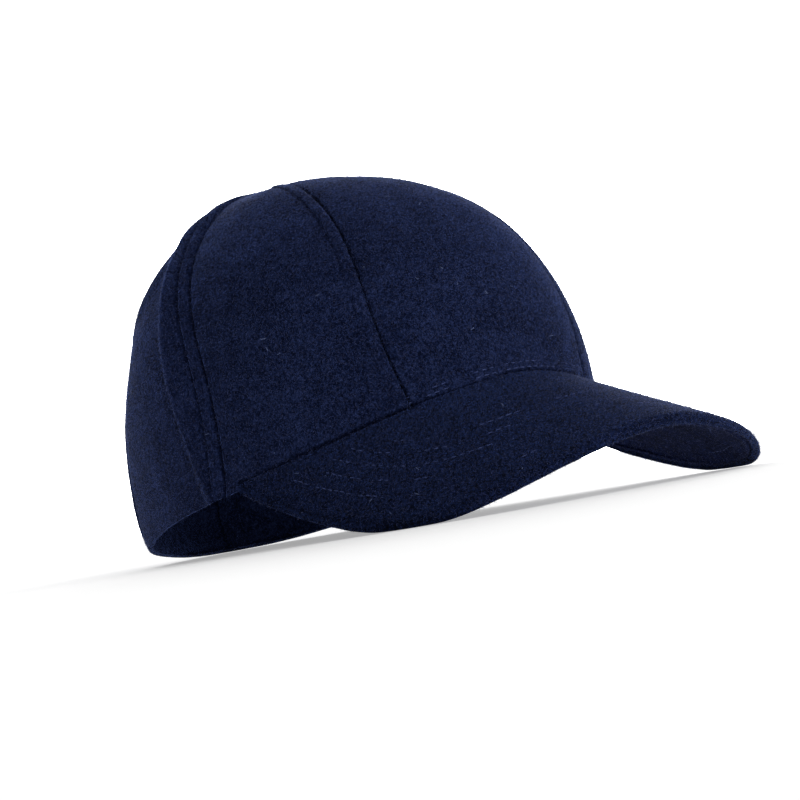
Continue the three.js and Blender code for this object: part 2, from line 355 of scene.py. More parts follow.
print("seams at", [seam["angle"] for seam in SEAMS], "degrees from the front")

# %% [markdown]
# ## Cutting the crown panels
#
# A panel could be modelled as a box and bent, but a plain grid is nearer to the real
# thing: it is a flat cut of cloth. The grid's own x runs from seam to seam and its y from
# hem to top. Each vertex is moved onto the form, with closer columns at the seams, where
# the cloth turns sharply, and closer rows at the hem, where the peak's seam draws it in. A
# Solidify modifier then gives the cloth its thickness, and a Bevel rounds the cut edges.

# %% A sheet of cloth
def link_mesh(name, shape, smooth=True):
    """Makes a finished bmesh an object of the scene, and frees it."""
    for face in shape.faces:
        face.smooth = smooth
    mesh = bpy.data.meshes.new(name)
    shape.to_mesh(mesh)
    shape.free()
    piece = bpy.data.objects.new(name, mesh)
    bpy.context.scene.collection.objects.link(piece)
    return piece


def cloth_grid(name, columns, rows, place, nap_at=None):
    """A grid of cloth whose shares across and along are placed by a function, as an object.

    Its attribute nap says how much of the nap stands at each point. That is 1 on plain
    cloth, less in seams and near the floor, and more on the crest of the side ridge. The wool
    material darkens the cloth where it is low, which paints shade into the seams, the grooves
    and where the cloth meets the floor, and lightens it where it is high, which paints a
    highlight along the crest.
    """
    cloth = bmesh.new()
    bmesh.ops.create_grid(cloth, x_segments=columns, y_segments=rows, size=0.5)
    nap = cloth.verts.layers.float.new("nap")
    shares = np.array([vert.co[:2] for vert in cloth.verts]) + 0.5
    standing = nap_at(shares[:, 0], shares[:, 1]) if nap_at else np.ones(len(shares))
    points = place(shares[:, 0], shares[:, 1])
    # The nap lies flat near the floor, and the material darkens the cloth there: painted shade
    # where the cap meets the floor.
    standing = standing * ramp(points[:, 2], 1.0 * MM, 3.0 * MM)
    for vert, point, value in zip(cloth.verts, points, standing):
        vert.co = point
        vert[nap] = value
    return link_mesh(name, cloth)


def face_towards(piece, direction_at):
    """Turns a sheet over if most of its faces look away from the direction given at each."""
    cloth = bmesh.new()
    cloth.from_mesh(piece.data)
    agreement = sum(
        face.normal.dot(direction_at(face.calc_center_median())) for face in cloth.faces)
    if agreement < 0:
        bmesh.ops.reverse_faces(cloth, faces=cloth.faces[:])
    cloth.to_mesh(piece.data)
    cloth.free()


def give_thickness(piece, thickness, edge):
    wall = piece.modifiers.new("cloth thickness", "SOLIDIFY")
    wall.thickness = thickness * MM
    wall.offset = -1
    wall.use_rim = True
    rounding = piece.modifiers.new("rounded edge", "BEVEL")
    rounding.width = edge * MM
    rounding.segments = 2
    rounding.limit_method = "ANGLE"
    rounding.angle_limit = math.radians(60)


# %% Crown panels
COLUMNS = 96
ROWS = 124
SEAM_CLOSENESS = 3.9
# Half the gap that is left between two panels, in millimetres.
SEAM_SLACK = 0.03
CUT_EDGE = 0.6
MIDDLE_OF_HEAD = Vector((0, 0.03, 0.04))
SIDES = (("right", 1), ("left", -1))


def crown_panels():
    """The start and end seam of each panel, and how much the allowance shows beside each."""
    def line(index, side):
        return lambda up: side * seam_angle(SEAMS[index], up)

    plain = (0, 0)
    panels = [{
        "name": "front_panel", "start": line(0, -1), "end": line(0, 1), "bands": (plain, plain)}]
    for word, side in SIDES:
        for index, place in enumerate(("front", "side", "back")):
            panels.append({
                "name": f"{word}_{place}_panel",
                "start": line(index, side),
                "end": line(index + 1, side),
                "bands": (SEAMS[index]["band"], SEAMS[3]["band"] if place == "back" else plain),
            })
    return panels


def panel_span(panel, up):
    """The angles where a panel starts and ends at a height, and its width there."""
    start, end = panel["start"](up), panel["end"](up)
    return start, end, np.abs(end - start) * crown_radius((start + end) / 2, up)


def root_distance(base):
    """How far points of the crown's form lie above or below its seam with the peak."""
    return np.abs(base[..., 2] - root_height(base[..., 0]))


def panel_rise(panel, angle, across, up, width, base):
    """How far a panel's cloth stands off the form: folds, puff, seams and unevenness.

    Near the top the panels are too narrow for whole seams, which are squeezed to fit. At
    the hem the allowance isn't pressed, and the groove is nearly closed.
    """
    squeeze = np.minimum(1, width / (4 * ALLOWANCE))
    relief = 0
    above_hem = base[..., 2] - hem_height(angle)
    held = ramp(above_hem, 0, 14)
    open_groove = mix(0.15, 1, ramp(above_hem, 0.5, 5))
    for distance, band in zip((across * width, (1 - across) * width), panel["bands"]):
        shown = band_strength(band, up) * held
        relief = relief + squeeze * seam_relief(distance / squeeze, shown, open_groove)
    turn = turn_from_front(angle)
    from_root = root_distance(base)
    drawn_in = root_groove("crown", from_root) * root_grip(turn)
    pushed_out = root_swell("crown", from_root) * ramp(PEAK_CORNER - turn, 0, 0.12)
    sewn_root = np.where(turn < PEAK_CORNER, drawn_in - pushed_out, 0)
    soft = unevenness(base, WAVES["crown"])
    return fold_rise(angle, up) + puff_rise(across, up) + relief - sewn_root + soft


def panel_point(panel, across, up):
    """A point of a panel's outer face, in the sewing position."""
    start, end, width = panel_span(panel, up)
    across = np.clip(across, SEAM_SLACK / width, 1 - SEAM_SLACK / width)
    angle = mix(start, end, across)
    base = crown_base(angle, up)
    rise = panel_rise(panel, angle, across, up, width, base)
    return base + crown_normal(angle, up) * rise[..., None]


def panel_nap(panel, across, up):
    """The nap is pressed away where cloth rolls into a seam and raised on the sharp fold; the
    material paints shade into the seams and a highlight along the fold.
    """
    start, end, width = panel_span(panel, up)
    angle = mix(start, end, across)
    turn = turn_from_front(angle)
    from_root = root_distance(crown_base(angle, up))
    beside_root = ramp(from_root, 0.2, mix(0.4, 1.2, root_grip(turn)))
    nap = np.where(turn < PEAK_CORNER, beside_root, 1)
    for distance, band in zip((across * width, (1 - across) * width), panel["bands"]):
        at_edge = ramp(np.abs(distance - ALLOWANCE), 0.1, 0.8)
        nap = nap * ramp(distance, 0.15, 0.9) * mix(1, at_edge, 0.75 * band_strength(band, up))
    # Raising the nap along the crest makes the cloth paler there: a painted highlight.
    return nap * (1 + SHARP_FOLD["nap_highlight"] * fold_shape(SHARP_FOLD, angle, up) ** 2)


def make_panel(panel):
    top_up = 1 - TIP_HOLE / (HEAD_WIDTH / 2)

    def closer_at_hem(up):
        return (0.25 * up + 0.75 * up ** 2.5) * top_up

    def place(across, up):
        return at_rest(panel_point(panel, spread(across, SEAM_CLOSENESS), closer_at_hem(up)))

    def nap_at(across, up):
        return panel_nap(panel, spread(across, SEAM_CLOSENESS), closer_at_hem(up))

    piece = cloth_grid(panel["name"] + "_cloth", COLUMNS, ROWS, place, nap_at)
    face_towards(piece, lambda centre: centre - MIDDLE_OF_HEAD)
    give_thickness(piece, CLOTH, CUT_EDGE)
    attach(piece, "root")
    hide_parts(panel["name"])
    return piece


crown = [make_panel(panel) for panel in crown_panels()]
print("crown panels:", len(crown), "faces each:", len(crown[0].data.polygons))

# %% [markdown]
# ## Seam allowances
#
# Inside the crown the cut edges of the panels lie beside each seam, pressed flat. They
# close the joint from the inside, where the rolled edges would otherwise part. One strip
# of cloth for each seam does that: a grid again, 10 mm wide, laid just inside the wall.

# %% Strips inside the seams
STRIP_COLUMNS = 12
STRIP_ROWS = 60
STRIP_THICKNESS = 1.1
STRIP_EDGE = 0.3
STRIP_OVERLAP = 0.3


def make_allowance(name, seam, side):
    def place(across, up):
        up = 0.004 + up * 0.99
        angle = side * seam_angle(seam, up)
        radius = np.maximum(crown_radius(angle, up), 0.5)
        aside = (across - 0.5) * 2 * np.minimum(ALLOWANCE, 0.2 * radius)
        angle = angle + aside / radius
        inward = CLOTH - STRIP_OVERLAP + 0.5 * np.exp(-((aside / 1.5) ** 2))
        rise = fold_rise(angle, up) - inward
        return at_rest(crown_base(angle, up) + crown_normal(angle, up) * rise[..., None])

    strip = cloth_grid(name, STRIP_COLUMNS, STRIP_ROWS, place)
    face_towards(strip, lambda centre: centre - MIDDLE_OF_HEAD)
    give_thickness(strip, STRIP_THICKNESS, STRIP_EDGE)
    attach(strip, "root")
    return strip


def allowance_name(seam):
    return seam["name"].replace(" ", "_") + "_allowance"


allowances = [
    make_allowance(f"{word}_{allowance_name(seam)}", seam, side)
    for word, side in SIDES for seam in SEAMS[:3]]
allowances.append(make_allowance(allowance_name(SEAMS[3]), SEAMS[3], 1))
print("seam allowances:", len(allowances))

# %% [markdown]
# ## The peak
#
# The peak is a stiff curved board with cloth on both sides. The upper cloth rolls round
# the rim and is sewn to the lower cloth just inside it, underneath. So one grid follows a
# section that runs forward over the top, round the rim and a little way back, and a
# second one fills the underside. Rows of stitching follow the rim on both.

# %% The peak's form
# Distances of the stitch rows from the rim, and how far the root is pushed into the
# crown's face, in millimetres.
STITCH_ROWS = (10.0, 17.0, 24.0, 31.0, 38.0)
ROOT_SINK = 0.9
OUTLINE_STEPS = 600


def peak_outline(steps):
    """The peak's plan outline from its right corner to its left, at an even pace."""
    root_y = -HEAD_LENGTH / 2 * math.cos(PEAK_CORNER)
    depth = HEAD_LENGTH / 2 + PEAK_REACH + root_y
    turn = np.linspace(0, math.pi, 4 * steps)
    x = -(CORNER_HALF_WIDTH + 0.4 + PEAK_FLARE / 2) * np.cos(turn)
    y = root_y - depth * np.sin(turn) ** (2 / OUTLINE_POWER)
    length = np.concatenate([[0], np.cumsum(np.hypot(np.diff(x), np.diff(y)))])
    even = np.linspace(0, length[-1], steps)
    return np.stack([np.interp(even, length, x), np.interp(even, length, y)], axis=-1)


OUTLINE = peak_outline(OUTLINE_STEPS)


def outline_point(share):
    """A point of the rim, seen from above, at a share from -1 at the right corner to 1."""
    place = (share + 1) / 2 * (len(OUTLINE) - 1)
    steps = np.arange(len(OUTLINE))
    return np.stack([np.interp(place, steps, OUTLINE[:, k]) for k in (0, 1)], axis=-1)


def peak_height(x, y):
    """Height of the peak's top surface over a point seen from above."""
    half = np.minimum(0.99, np.abs(x) / (HEAD_WIDTH / 2))
    forward = np.maximum(0, -HEAD_LENGTH / 2 * np.sqrt(1 - half ** 2) - y)
    lift = PEAK_FLARE * (x / CORNER_HALF_WIDTH) ** 2 * forward / PEAK_REACH
    return root_height(x) - math.tan(PEAK_PITCH) * forward + lift


def across_at_root(turn, front, side):
    """The share across its panel of a point of the root, given the seams' angles there."""
    return np.where(turn < front, (turn / front + 1) / 2, (turn - front) / (side - front))


def root_point(share):
    """The point of the peak's root, seen from above, that faces a point of the rim."""
    angle = -share * PEAK_CORNER
    point = crown_form(angle, root_height(HEAD_WIDTH / 2 * np.sin(angle)))[..., :2]
    outward = point / np.array([HEAD_WIDTH, HEAD_LENGTH])
    outward = outward / np.linalg.norm(outward, axis=-1, keepdims=True)
    front, side = (math.radians(seam["angle"]) for seam in SEAMS[:2])
    across = across_at_root(np.abs(angle), front, side)
    slack = ROOT_GAP - ROOT_SINK + puff_rise(across, 0 * across) + fold_rise(angle, 0 * angle)
    return point + outward * slack[..., None]


def peak_section(share):
    """The measures of the section from a point of the root to the rim."""
    root, rim = root_point(share), outline_point(share)
    length = np.linalg.norm(rim - root, axis=-1)
    thickness = mix(CORNER_THICKNESS, PEAK_THICKNESS, ramp(length, 0, CORNER_TAPER))
    return {
        "root": root,
        "along": (rim - root) / length[..., None],
        "length": length,
        "thickness": thickness,
        "radius": thickness / 2,
        "turned": np.minimum(RIM_RETURN, 0.3 * length),
        "grip": root_grip(np.abs(share) * PEAK_CORNER),
    }


def peak_place(section, distance, depth):
    """A point at a distance from the root and a depth below the peak's top surface."""
    flat = section["root"] + section["along"] * distance[..., None]
    x, y = flat[..., 0], flat[..., 1]
    return np.stack([x, y, peak_height(x, y) - depth], axis=-1)


def row_dips(inside_rim, width, depth):
    """The shallow grooves that the stitch rows press into the cloth."""
    return depth * sum(np.exp(-(((inside_rim - row) / width) ** 2)) for row in STITCH_ROWS)


# Shares of the upper cloth's path at which it leaves the top and ends its roll.
TOP_ENDS = 0.66
ROLL_ENDS = 0.9
TUCK_DEPTH = 1.4
TUCK_REACH = 0.5
RIDGE_RISE = 0.7
TOP_DIP = {"width": 0.8, "depth": 0.16}
UNDER_DIP = {"width": 0.9, "depth": 0.3}
TOP_CLOSENESS = 2.6
UNDER_CLOSENESS = 3.2


def peak_top_point(share, path):
    """A point of the upper cloth, whose path runs over the top, round the rim and back."""
    section = peak_section(share)
    shoulder = section["length"] - section["radius"]
    radius, turned = section["radius"], section["turned"]
    on_top = path < TOP_ENDS
    along = shoulder * spread(np.clip(path / TOP_ENDS, 0, 1), TOP_CLOSENESS)
    turn = math.pi * np.clip((path - TOP_ENDS) / (ROLL_ENDS - TOP_ENDS), 0, 1)
    back = turned * np.clip((path - ROLL_ENDS) / (1 - ROLL_ENDS), 0, 1)
    sewn_root = root_groove("peak", along) * section["grip"] - root_swell("peak", along)
    rows = row_dips(section["length"] - along, **TOP_DIP) * ramp(along, 4, 9)
    tucked = TUCK_DEPTH * np.exp(-(turned - back) / TUCK_REACH) * (path > ROLL_ENDS)
    distance = np.where(on_top, along, shoulder + radius * np.sin(turn) - back)
    depth = np.where(on_top, sewn_root + rows, radius - radius * np.cos(turn) - tucked)
    point = peak_place(section, distance, depth)
    pucker = unevenness(point, WAVES["pucker at the root"]) * np.exp(-along / 6)
    point[..., 2] += unevenness(point, WAVES["peak top"]) + np.where(on_top, pucker, 0)
    return point


def peak_under_point(share, path):
    """A point of the lower cloth, which has a ridge just inside its seam with the upper."""
    section = peak_section(share)
    edge = section["length"] - section["radius"] - section["turned"]
    distance = edge * spread(path, UNDER_CLOSENESS)
    inside_seam = edge - distance
    groove = TUCK_DEPTH * np.exp(-inside_seam / TUCK_REACH)
    ridge = RIDGE_RISE * ramp(inside_seam, 0.4, 1.3) * (1 - ramp(inside_seam, 2.2, 3.2))
    rows = row_dips(section["length"] - distance, **UNDER_DIP) * ramp(distance, 3, 8)
    point = peak_place(section, distance, section["thickness"] - groove + ridge - rows)
    point[..., 2] += unevenness(point, WAVES["peak underside"])
    return point


# %% The peak's two cloths
STATIONS = 190
TOP_ROWS = 84
UNDER_ROWS = 64
TOP_REACH = 0.993
UNDER_REACH = 0.96
PEAK_CLOTH = 0.9 * CLOTH
PEAK_EDGE = 0.5


def make_peak(name, rows, reach, point, faces):
    """One cloth of the peak; reach is how near it comes to the corners, faces is up or down."""
    def place(share, path):
        return at_rest(point(mix(-reach, reach, share), path))

    # The nap thins out at the root and where the cloth turns under at the rim, and the material
    # darkens the cloth there: painted shade in these grooves.
    def nap_at(share, path):
        return ramp(path, 0.0, 0.05) * ramp(1 - path, 0.0, 0.05)

    piece = cloth_grid(name + "_cloth", STATIONS, rows, place, nap_at)
    face_towards(piece, lambda centre: Vector((0, 0, faces)))
    give_thickness(piece, PEAK_CLOTH, PEAK_EDGE)
    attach(piece, "root")
    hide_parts(name)
    return piece


peak_top = make_peak("peak_top", TOP_ROWS, TOP_REACH, peak_top_point, 1)
peak_under = make_peak(
    "peak_underside", UNDER_ROWS, UNDER_REACH, peak_under_point, -1)
print("peak faces:", len(peak_top.data.polygons), len(peak_under.data.polygons))

# %% [markdown]
# ## Stitches
#
# Thread is easiest as what it is: a row of short raised dashes, one for each stitch. Each
# is a small sphere with few faces, drawn out along its row, and the rows of one kind are
# one mesh. The brushed nap hides most of them, so each is sunk by its own small amount,
# and only the higher ones show.

# %% Rows of stitches
STITCH_PITCH = 3.3
STITCH_LENGTH = 2.7
STITCH_WIDTH = 0.38
ROOT_ROWS = (1.5, 3.6)


def stitch_rows(name, lines, sink, uneven):
    """Dashes sunk into the cloth along lines.

    Each line has its points, normals and depths in millimetres, in the sewing position.
    Sink is how deep a dash lies on average, and uneven by how much that changes.
    """
    thread = bmesh.new()
    count = 0
    half = (STITCH_LENGTH / 2 * MM, STITCH_WIDTH / 2 * MM, STITCH_WIDTH / 2 * MM)
    size = Matrix.Diagonal((*half, 1))
    for points, normals, depths in lines:
        steps = np.linalg.norm(np.diff(points, axis=0), axis=1)
        reach = np.concatenate([[0], np.cumsum(steps)])
        for start in np.arange(0.5 * STITCH_PITCH, reach[-1] - STITCH_LENGTH, STITCH_PITCH):
            ends = [np.array([np.interp(at, reach, points[:, k]) for k in range(3)])
                    for at in (start, start + STITCH_LENGTH)]
            normal = np.array([np.interp(start, reach, normals[:, k]) for k in range(3)])
            changing = uneven * noise.noise(Vector(ends[0]) / 9)
            depth = sink + np.interp(start, reach, depths) + changing
            middle = at_rest((ends[0] + ends[1]) / 2 - normal * depth)
            along = Vector(at_rest(ends[1]) - at_rest(ends[0])).normalized()
            upward = Vector(at_rest(normal) - at_rest(0 * normal))
            aside = upward.cross(along).normalized()
            turn = Matrix((along, aside, along.cross(aside))).transposed().to_4x4()
            bmesh.ops.create_icosphere(thread, subdivisions=1, radius=1,
                                       matrix=Matrix.Translation(Vector(middle)) @ turn @ size)
            count += 1
    piece = link_mesh(name, thread)
    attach(piece, "root")
    print(name, "stitches:", count)
    return piece


def root_stitch_line(above):
    """A line on the crown's front, a distance above the seam with the peak."""
    angle = np.linspace(-0.94, 0.94, 260) * PEAK_CORNER
    height = root_height(HEAD_WIDTH / 2 * np.sin(angle)) + above
    share = (height - hem_height(angle)) / (CROWN_HEIGHT - hem_height(angle))
    up = 1 - np.sqrt(1 - share)
    turn = np.abs(angle)
    across = across_at_root(turn, *(seam_angle(seam, up) for seam in SEAMS[:2]))
    normal = crown_normal(angle, up)
    rise = fold_rise(angle, up) + puff_rise(across, up) + root_swell("crown", above)
    hidden = 0.8 * past_front_seam(turn)
    return crown_base(angle, up) + normal * rise[..., None], normal, hidden


def peak_stitch_lines(point_depth, faces, limit):
    """Lines that follow the rim, at a depth below the top surface, up to a share of the rim."""
    lines = []
    for row in STITCH_ROWS:
        share = np.linspace(-limit, limit, 500)
        section = peak_section(share)
        inside = section["length"] - row > 6
        section = {key: value[inside] for key, value in section.items()}
        points = peak_place(section, section["length"] - row, point_depth(section))
        normals = np.tile((0, 0, faces), (len(points), 1))
        lines.append((points, normals, np.zeros(len(points))))
    return lines


root_stitches = stitch_rows(
    "root_stitches", [root_stitch_line(above) for above in ROOT_ROWS],
    sink=0.2, uneven=0.8)
top_lines = peak_stitch_lines(lambda section: TOP_DIP["depth"] + 0 * section["length"], 1, 0.9)
top_stitches = stitch_rows(
    "peak_top_stitches", top_lines, sink=0.13, uneven=0.7)
under_lines = peak_stitch_lines(
    lambda section: section["thickness"] - UNDER_DIP["depth"], -1, 0.86)
under_stitches = stitch_rows(
    "peak_underside_stitches", under_lines, sink=0.1, uneven=0.7)

# %% [markdown]
# ## The nap
#
# Milled wool is covered in short loose fibres. Most of their look can be left to the
# material, but at the cap's outline they stand against the light, and there only real
# ones will do. Geometry Nodes scatters them: points on the cloth, a short bent ribbon on
# each, turned at random, and the whole made one mesh. Real fibres are about 0.03 mm wide.
# These are 0.08 mm wide, so that they still show in a picture of the whole cap. A few
# longer and paler ones are lint, which dark wool always picks up.

# %% Fibres by Geometry Nodes
FIBRE_WIDTH = 0.08
# Where a fibre leaves the cloth, bends and ends; its own z points out of the cloth.
FIBRE_BEND = {"Start": (0, 0, -0.06), "Middle": (0.45, 0.22, 0.4), "End": (0.9, 0, 0.16)}


def add(tree, kind, inputs=None, **settings):
    """Adds a node with its settings; inputs are values, or outputs of other nodes to link."""
    node = tree.nodes.new(kind)
    for name, value in settings.items():
        setattr(node, name, value)
    for name, value in (inputs or {}).items():
        if isinstance(value, bpy.types.NodeSocket):
            tree.links.new(value, node.inputs[name])
        else:
            node.inputs[name].default_value = value
    return node


def fibre_nodes(name, per_mm2, seed, material, size):
    """A node tree that replaces a sheet of cloth by loose fibres standing on it."""
    tree = bpy.data.node_groups.new(name, "GeometryNodeTree")
    tree.interface.new_socket("Geometry", in_out="INPUT", socket_type="NodeSocketGeometry")
    tree.interface.new_socket("Geometry", in_out="OUTPUT", socket_type="NodeSocketGeometry")
    cloth = add(tree, "NodeGroupInput").outputs["Geometry"]
    nap = add(tree, "GeometryNodeInputNamedAttribute", {"Name": "nap"}, data_type="FLOAT")
    density = add(tree, "ShaderNodeMath", {
        0: nap.outputs["Attribute"], 1: per_mm2 / MM ** 2}, operation="MULTIPLY")
    points = add(tree, "GeometryNodeDistributePointsOnFaces", {
        "Mesh": cloth, "Density": density.outputs[0], "Seed": seed})
    bend = {place: [value * MM for value in point] for place, point in FIBRE_BEND.items()}
    arc = add(tree, "GeometryNodeCurveQuadraticBezier", {"Resolution": 2, **bend})
    edge = add(tree, "GeometryNodeCurvePrimitiveLine", {
        "Start": (-FIBRE_WIDTH / 2 * MM, 0, 0), "End": (FIBRE_WIDTH / 2 * MM, 0, 0)})
    fibre = add(tree, "GeometryNodeCurveToMesh", {
        "Curve": arc.outputs["Curve"], "Profile Curve": edge.outputs["Curve"]})
    lean = add(tree, "FunctionNodeRandomValue", {
        0: (-0.3, -0.3, 0.8), 1: (0.3, 0.3, 1.0), "Seed": seed + 1}, data_type="FLOAT_VECTOR")
    spin = add(tree, "FunctionNodeRandomValue", {
        2: 0.0, 3: 2 * math.pi, "Seed": seed + 2}, data_type="FLOAT")
    scale = add(tree, "FunctionNodeRandomValue", {
        2: size[0], 3: size[1], "Seed": seed + 3}, data_type="FLOAT")
    leaned = add(tree, "FunctionNodeAlignRotationToVector", {"Vector": lean.outputs[0]}, axis="Z")
    spun = add(tree, "FunctionNodeAxisAngleToRotation", {
        "Axis": (0, 0, 1), "Angle": spin.outputs[1]})
    local = add(tree, "FunctionNodeRotateRotation", {
        "Rotation": spun.outputs["Rotation"], "Rotate By": leaned.outputs["Rotation"]},
        rotation_space="LOCAL")
    turned = add(tree, "FunctionNodeRotateRotation", {
        "Rotation": points.outputs["Rotation"], "Rotate By": local.outputs["Rotation"]},
        rotation_space="LOCAL")
    placed = add(tree, "GeometryNodeInstanceOnPoints", {
        "Points": points.outputs["Points"], "Instance": fibre.outputs["Mesh"],
        "Rotation": turned.outputs["Rotation"], "Scale": scale.outputs[1]})
    joined = add(tree, "GeometryNodeRealizeInstances", {"Geometry": placed.outputs["Instances"]})
    dressed = add(tree, "GeometryNodeSetMaterial", {
        "Geometry": joined.outputs["Geometry"], "Material": material})
    add(tree, "NodeGroupOutput", {"Geometry": dressed.outputs["Geometry"]})
    return tree


def make_nap(piece, name, per_mm2, seed, material, size):
    """Loose fibres over the outer face of a sheet of cloth; size is the range of their scale."""
    nap = bpy.data.objects.new(name, piece.data.copy())
    bpy.context.scene.collection.objects.link(nap)
    nap.data.materials.clear()
    nap.data.materials.append(material)
    fibres = nap.modifiers.new("fibres", "NODES")
    fibres.node_group = fibre_nodes(name, per_mm2, seed, material, size)
    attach(nap, "root")
    return nap


# %% [markdown]
# ## The wool
#
# The cloth is a milled wool flannel: woven, then shrunk and brushed until the weave is
# hidden under a short nap. It has no gloss of its own. What the eye sees is a fine grain
# of lighter and darker fibres, soft clouds where the nap lies differently, and a pale
# bloom at grazing angles, where the light catches the fibre ends. The bloom is the
# shader's sheen, stronger on the paler grain, because those fibres stand up. The grain is
# noise folded about its middle value, which leaves thin curled lines like fibres. The
# peak's cloth is drawn a little darker than the crown's, which paints shade onto the peak.
#
# Real fibres lie less than a tenth of a millimetre apart, which is too fine to show in a
# picture of the whole cap. Their lines and the grain between them are drawn about ten
# times as coarse. The tufts and clouds have their real sizes.

# %% Materials
# Sizes of the patterns in millimetres.
FIBRE_CURL = 1.15
GRAIN = 0.9
TUFT = 2.8
CLOUD = 16.0
BUMP_HEIGHT = 0.28
THREAD_TWIST = 0.8


def linear(hex_colour):
    """An sRGB hex colour as the linear colour that the shaders take."""
    channels = [int(hex_colour[k:k + 2], 16) / 255 for k in (1, 3, 5)]
    return [c / 12.92 if c <= 0.04045 else ((c + 0.055) / 1.055) ** 2.4 for c in channels] + [1.0]


def milled_wool(name, shades, contrast, bloom, tint):
    """Milled and brushed wool flannel: matt, grainy and cloudy, with a pale bloom.

    Shades run from the gaps to the palest fibre. Contrast is the grain's, bloom the
    strength of the sheen, and tint its colour.
    """
    material = bpy.data.materials.new(name)
    material.use_nodes = True
    tree = material.node_tree
    tree.nodes.clear()
    place = add(tree, "ShaderNodeTexCoord").outputs["Object"]

    def pattern(size, detail, distortion, shift=0.0):
        moved = add(tree, "ShaderNodeMapping", {"Vector": place, "Location": (shift, shift, shift)})
        return add(tree, "ShaderNodeTexNoise", {
            "Vector": moved.outputs["Vector"], "Scale": 1 / (size * MM), "Detail": detail,
            "Roughness": 0.55, "Distortion": distortion}).outputs["Fac"]

    def lines(value, sharpness):
        """Thin curled lines where a noise passes through its middle value."""
        away = add(tree, "ShaderNodeMath", {0: value, 1: 0.5}, operation="SUBTRACT")
        size = add(tree, "ShaderNodeMath", {0: away.outputs[0]}, operation="ABSOLUTE")
        return add(tree, "ShaderNodeMapRange", {
            "Value": size.outputs[0], "From Min": 0.0, "From Max": sharpness,
            "To Min": 1.0, "To Max": 0.0}, interpolation_type="SMOOTHSTEP").outputs["Result"]

    def total(*terms):
        """A weighted sum of values about their middles."""
        result = 0.5
        for value, weight, middle in terms:
            step = add(tree, "ShaderNodeMath", {
                0: value, 1: weight, 2: -weight * middle}, operation="MULTIPLY_ADD")
            added = add(tree, "ShaderNodeMath", {0: result, 1: step.outputs[0]}, operation="ADD")
            result = added.outputs[0]
        return result

    pale = lines(pattern(FIBRE_CURL, 1.5, 1.4), 0.07)
    dark = lines(pattern(0.8 * FIBRE_CURL, 1.5, 1.2, 0.37), 0.06)
    grain = pattern(GRAIN, 1.6, 0.0)
    clump = pattern(TUFT, 3.0, 0.8)
    haze = pattern(CLOUD, 3.0, 0.5)
    nap = add(tree, "ShaderNodeAttribute", attribute_name="nap").outputs["Fac"]
    # The nap attribute lowers the shade in seams, grooves and near the floor, which paints shade
    # there. Above 1, on the crest of the side ridge, it raises the shade and the sheen: a painted
    # highlight.
    shade = total(
        (pale, 0.3 * contrast, 0.3), (dark, -0.26 * contrast, 0.3), (grain, 0.8 * contrast, 0.5),
        (clump, 0.6, 0.5), (haze, 0.5, 0.5), (nap, 0.3, 1.0))
    tone = add(tree, "ShaderNodeValToRGB", {"Fac": shade})
    ramp_ends = tone.color_ramp.elements
    ramp_ends[0].position, ramp_ends[0].color = 0.12, linear(shades[0])
    ramp_ends[1].position, ramp_ends[1].color = 0.95, linear(shades[3])
    ramp_ends.new(0.42).color = linear(shades[1])
    ramp_ends.new(0.64).color = linear(shades[2])
    height = total((pale, 0.4, 0.3), (dark, -0.3, 0.3), (grain, 0.5, 0.5), (clump, 0.6, 0.5))
    bump = add(tree, "ShaderNodeBump", {
        "Strength": 0.6, "Distance": BUMP_HEIGHT * MM, "Height": height})
    tips = add(tree, "ShaderNodeMapRange", {
        "Value": shade, "From Min": 0.3, "From Max": 0.9, "To Min": 0.0, "To Max": bloom})
    shader = add(tree, "ShaderNodeBsdfPrincipled", {
        "Base Color": tone.outputs["Color"], "Normal": bump.outputs["Normal"], "Roughness": 0.95,
        "Specular IOR Level": 0.05, "Sheen Weight": tips.outputs["Result"], "Sheen Roughness": 0.12,
        "Sheen Tint": linear(tint)})
    add(tree, "ShaderNodeOutputMaterial", {"Surface": shader.outputs["BSDF"]})
    return material


def wool_thread(name, shades, clear=0.0):
    """Loose wool fibre, lint or spun thread: matt, with a faint bloom.

    A single fibre is clear as well, and glows where light comes from behind it. The tone
    changes along the thread every 0.8 mm, as its twist turns.
    """
    material = bpy.data.materials.new(name)
    material.use_nodes = True
    tree = material.node_tree
    tree.nodes.clear()
    place = add(tree, "ShaderNodeTexCoord").outputs["Object"]
    twist = add(tree, "ShaderNodeTexNoise", {
        "Vector": place, "Scale": 1 / (THREAD_TWIST * MM), "Detail": 2.0})
    tone = add(tree, "ShaderNodeValToRGB", {"Fac": twist.outputs["Fac"]})
    for end, position, shade in zip(tone.color_ramp.elements, (0.35, 0.65), shades):
        end.position, end.color = position, linear(shade)
    shader = add(tree, "ShaderNodeBsdfPrincipled", {
        "Base Color": tone.outputs["Color"], "Roughness": 0.85, "Specular IOR Level": 0.2,
        "Transmission Weight": clear, "Sheen Weight": 0.3, "Sheen Tint": linear("#8497cf")})
    add(tree, "ShaderNodeOutputMaterial", {"Surface": shader.outputs["BSDF"]})
    return material


CROWN_SHADES = ("#03071b", "#09112b", "#131e3e", "#2b365d")
